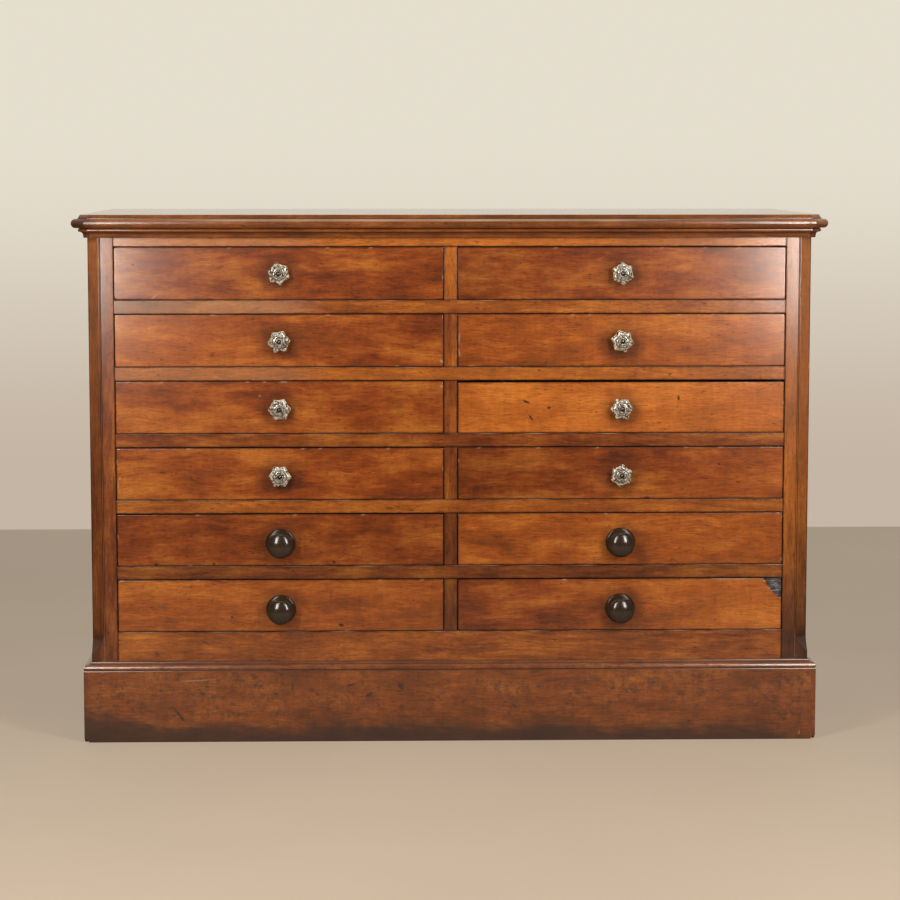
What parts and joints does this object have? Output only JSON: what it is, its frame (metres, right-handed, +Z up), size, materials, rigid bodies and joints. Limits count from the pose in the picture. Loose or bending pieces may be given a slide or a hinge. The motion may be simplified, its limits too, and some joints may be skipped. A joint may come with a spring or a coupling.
{
  "type": "haberdashery cabinet",
  "caption": "Low mahogany shop cabinet of small drawers with glass and turned knobs, chamfered corner posts, moulded top and plinth.",
  "frame": {"origin": "on the floor under the middle of the whole cabinet, knobs included", "axes": "+X along the width, -Y out of the drawer fronts, +Z up"},
  "size_m": [1.24, 0.6, 0.873],
  "materials": {
    "mahogany": "polished mahogany, straight grain, worn at the edges",
    "mahogany_frame": "polished mahogany, lighter and streaky",
    "mahogany_drawer": "polished mahogany, horizontal grain",
    "mahogany_plinth": "dark mahogany, mottled and scuffed",
    "pine": "bare aged pine",
    "glass": "pressed clear glass, faintly green",
    "ebonised_wood": "turned hardwood, stained near black and polished"
  },
  "bodies": {
    "root": {"top_board": "mahogany", "bed_moulding": "mahogany", "side_panel_left": "mahogany", "side_panel_right": "mahogany", "corner_post_left": "mahogany_frame", "corner_post_right": "mahogany_frame", "centre_muntin": "mahogany_frame", "rail_top": "mahogany_frame", "rail_bottom": "mahogany_frame", "rail_1": "mahogany_frame", "rail_2": "mahogany_frame", "rail_3": "mahogany_frame", "rail_4": "mahogany_frame", "rail_5": "mahogany_frame", "plinth": "mahogany_plinth", "back_panel": "pine", "centre_partition": "pine", "bottom_board": "pine", "dust_board_1": "pine", "dust_board_2": "pine", "dust_board_3": "pine", "dust_board_4": "pine", "dust_board_5": "pine"},
    "drawer_left_1": {"drawer_front_l1": "mahogany_drawer", "drawer_box_l1": "pine", "glass_knob_l1": "glass"},
    "drawer_left_2": {"drawer_front_l2": "mahogany_drawer", "drawer_box_l2": "pine", "glass_knob_l2": "glass"},
    "drawer_left_3": {"drawer_front_l3": "mahogany_drawer", "drawer_box_l3": "pine", "glass_knob_l3": "glass"},
    "drawer_left_4": {"drawer_front_l4": "mahogany_drawer", "drawer_box_l4": "pine", "glass_knob_l4": "glass"},
    "drawer_left_5": {"drawer_front_l5": "mahogany_drawer", "drawer_box_l5": "pine", "wood_knob_l5": "ebonised_wood"},
    "drawer_left_6": {"drawer_front_l6": "mahogany_drawer", "drawer_box_l6": "pine", "wood_knob_l6": "ebonised_wood"},
    "drawer_right_1": {"drawer_front_r1": "mahogany_drawer", "drawer_box_r1": "pine", "glass_knob_r1": "glass"},
    "drawer_right_2": {"drawer_front_r2": "mahogany_drawer", "drawer_box_r2": "pine", "glass_knob_r2": "glass"},
    "drawer_right_3": {"drawer_front_r3": "mahogany_drawer", "drawer_box_r3": "pine", "glass_knob_r3": "glass"},
    "drawer_right_4": {"drawer_front_r4": "mahogany_drawer", "drawer_box_r4": "pine", "glass_knob_r4": "glass"},
    "drawer_right_5": {"drawer_front_r5": "mahogany_drawer", "drawer_box_r5": "pine", "wood_knob_r5": "ebonised_wood"},
    "drawer_right_6": {"drawer_front_r6": "mahogany_drawer", "drawer_box_r6": "pine", "wood_knob_r6": "ebonised_wood"}
  },
  "joints": [
    {"name": "slide_left_1", "type": "slide", "parent": "root", "child": "drawer_left_1", "axis": [0, -1, 0], "range_m": [0, 0.4]},
    {"name": "slide_left_2", "type": "slide", "parent": "root", "child": "drawer_left_2", "axis": [0, -1, 0], "range_m": [0, 0.4]},
    {"name": "slide_left_3", "type": "slide", "parent": "root", "child": "drawer_left_3", "axis": [0, -1, 0], "range_m": [0, 0.4]},
    {"name": "slide_left_4", "type": "slide", "parent": "root", "child": "drawer_left_4", "axis": [0, -1, 0], "range_m": [0, 0.4]},
    {"name": "slide_left_5", "type": "slide", "parent": "root", "child": "drawer_left_5", "axis": [0, -1, 0], "range_m": [0, 0.4]},
    {"name": "slide_left_6", "type": "slide", "parent": "root", "child": "drawer_left_6", "axis": [0, -1, 0], "range_m": [0, 0.4]},
    {"name": "slide_right_1", "type": "slide", "parent": "root", "child": "drawer_right_1", "axis": [0, -1, 0], "range_m": [0, 0.4]},
    {"name": "slide_right_2", "type": "slide", "parent": "root", "child": "drawer_right_2", "axis": [0, -1, 0], "range_m": [0, 0.4]},
    {"name": "slide_right_3", "type": "slide", "parent": "root", "child": "drawer_right_3", "axis": [0, -1, 0], "range_m": [0, 0.4]},
    {"name": "slide_right_4", "type": "slide", "parent": "root", "child": "drawer_right_4", "axis": [0, -1, 0], "range_m": [0, 0.4]},
    {"name": "slide_right_5", "type": "slide", "parent": "root", "child": "drawer_right_5", "axis": [0, -1, 0], "range_m": [0, 0.4]},
    {"name": "slide_right_6", "type": "slide", "parent": "root", "child": "drawer_right_6", "axis": [0, -1, 0], "range_m": [0, 0.4]}
  ]
}
